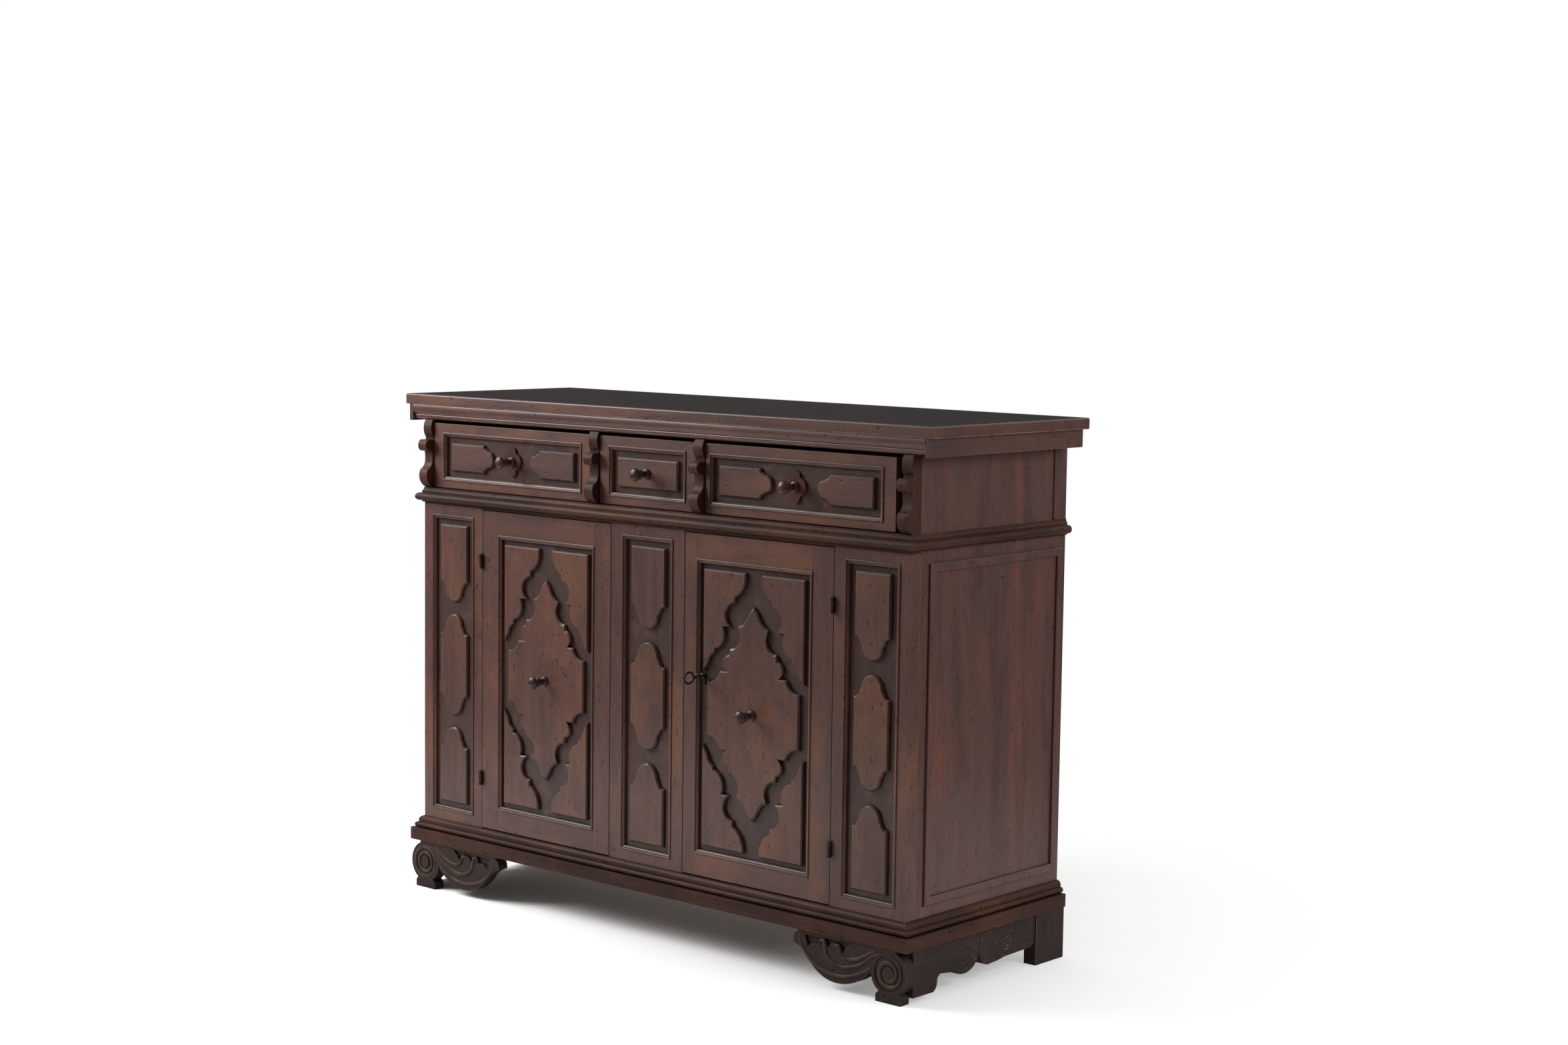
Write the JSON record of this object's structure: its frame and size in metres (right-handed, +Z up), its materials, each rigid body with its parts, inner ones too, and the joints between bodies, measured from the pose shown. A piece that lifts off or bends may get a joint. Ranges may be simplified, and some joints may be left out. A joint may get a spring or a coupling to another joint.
{
  "type": "credenza",
  "caption": "Carved walnut credenza with drawers between corbels over panelled doors, scroll feet in front and a key in the door.",
  "frame": {"origin": "centre of the bounding box on the floor", "axes": "+X along the front to the viewer's right, front faces -Y, +Z up"},
  "size_m": [1.4, 0.521, 1.04],
  "materials": {
    "walnut": "dark waxed walnut with worn edges",
    "inner_wood": "plain unfinished board",
    "turned_wood": "turned and polished dark walnut",
    "iron": "dark hand-forged iron"
  },
  "bodies": {
    "case": {"top_slab": "walnut", "cornice_front": "walnut", "cornice_side_left": "walnut", "cornice_side_right": "walnut", "side_board_left": "walnut", "side_board_right": "walnut", "side_moulding_left": "walnut", "side_moulding_right": "walnut", "back_boards": "inner_wood", "bottom_board": "inner_wood", "dust_board": "inner_wood", "drawer_partition_left": "inner_wood", "drawer_partition_right": "inner_wood", "pilaster_left": "walnut", "pilaster_centre": "walnut", "pilaster_right": "walnut", "pilaster_plaques_left": "walnut", "pilaster_plaques_centre": "walnut", "pilaster_plaques_right": "walnut", "corbel_outer_left": "walnut", "corbel_inner_left": "walnut", "corbel_inner_right": "walnut", "corbel_outer_right": "walnut", "waist_rail": "walnut", "waist_side_left": "walnut", "waist_side_right": "walnut", "base_rail": "walnut", "base_side_left": "walnut", "base_side_right": "walnut", "front_foot_left": "walnut", "front_foot_right": "walnut", "side_bracket_left": "walnut", "side_bracket_right": "walnut", "back_leg_left": "walnut", "back_leg_right": "walnut", "hinge_pins": "iron"},
    "door_left": {"door_frame_left": "walnut", "door_panel_left": "walnut", "door_tracery_left": "walnut", "door_knob_left": "turned_wood", "hinge_leaves_left": "iron"},
    "door_right": {"door_frame_right": "walnut", "door_panel_right": "walnut", "door_tracery_right": "walnut", "door_knob_right": "turned_wood", "hinge_leaves_right": "iron", "lock_case": "iron"},
    "bolt": {"lock_bolt": "iron"},
    "key": {"key": "iron"},
    "drawer_left": {"drawer_front_left": "walnut", "drawer_pull_left": "turned_wood", "drawer_box_left": "inner_wood", "drawer_plaques_left": "walnut"},
    "drawer_middle": {"drawer_front_middle": "walnut", "drawer_pull_middle": "turned_wood", "drawer_box_middle": "inner_wood"},
    "drawer_right": {"drawer_front_right": "walnut", "drawer_pull_right": "turned_wood", "drawer_box_right": "inner_wood", "drawer_plaques_right": "walnut"}
  },
  "joints": [
    {"name": "door_left_hinge", "type": "hinge", "parent": "case", "child": "door_left", "pos_m": [-0.4715, -0.2108, 0.48], "axis": [0, 0, -1], "range_deg": [0, 110]},
    {"name": "door_right_hinge", "type": "hinge", "parent": "case", "child": "door_right", "pos_m": [0.4715, -0.2108, 0.48], "axis": [0, 0, 1], "range_deg": [0, 110]},
    {"name": "key_turn", "type": "hinge", "parent": "door_right", "child": "key", "pos_m": [0.1493, -0.2065, 0.5385], "axis": [0, -1, 0], "range_deg": [0, 90]},
    {"name": "bolt_slide", "type": "slide", "parent": "door_right", "child": "bolt", "axis": [-1, 0, 0], "range_m": [0, 0.01]},
    {"name": "drawer_left_slide", "type": "slide", "parent": "case", "child": "drawer_left", "axis": [0, -1, 0], "range_m": [0, 0.32]},
    {"name": "drawer_middle_slide", "type": "slide", "parent": "case", "child": "drawer_middle", "axis": [0, -1, 0], "range_m": [0, 0.32]},
    {"name": "drawer_right_slide", "type": "slide", "parent": "case", "child": "drawer_right", "axis": [0, -1, 0], "range_m": [0, 0.32]}
  ],
  "couplings": [
    {"joint": "bolt_slide", "follows": "key_turn", "m_per_rad": 0.0063661}
  ]
}
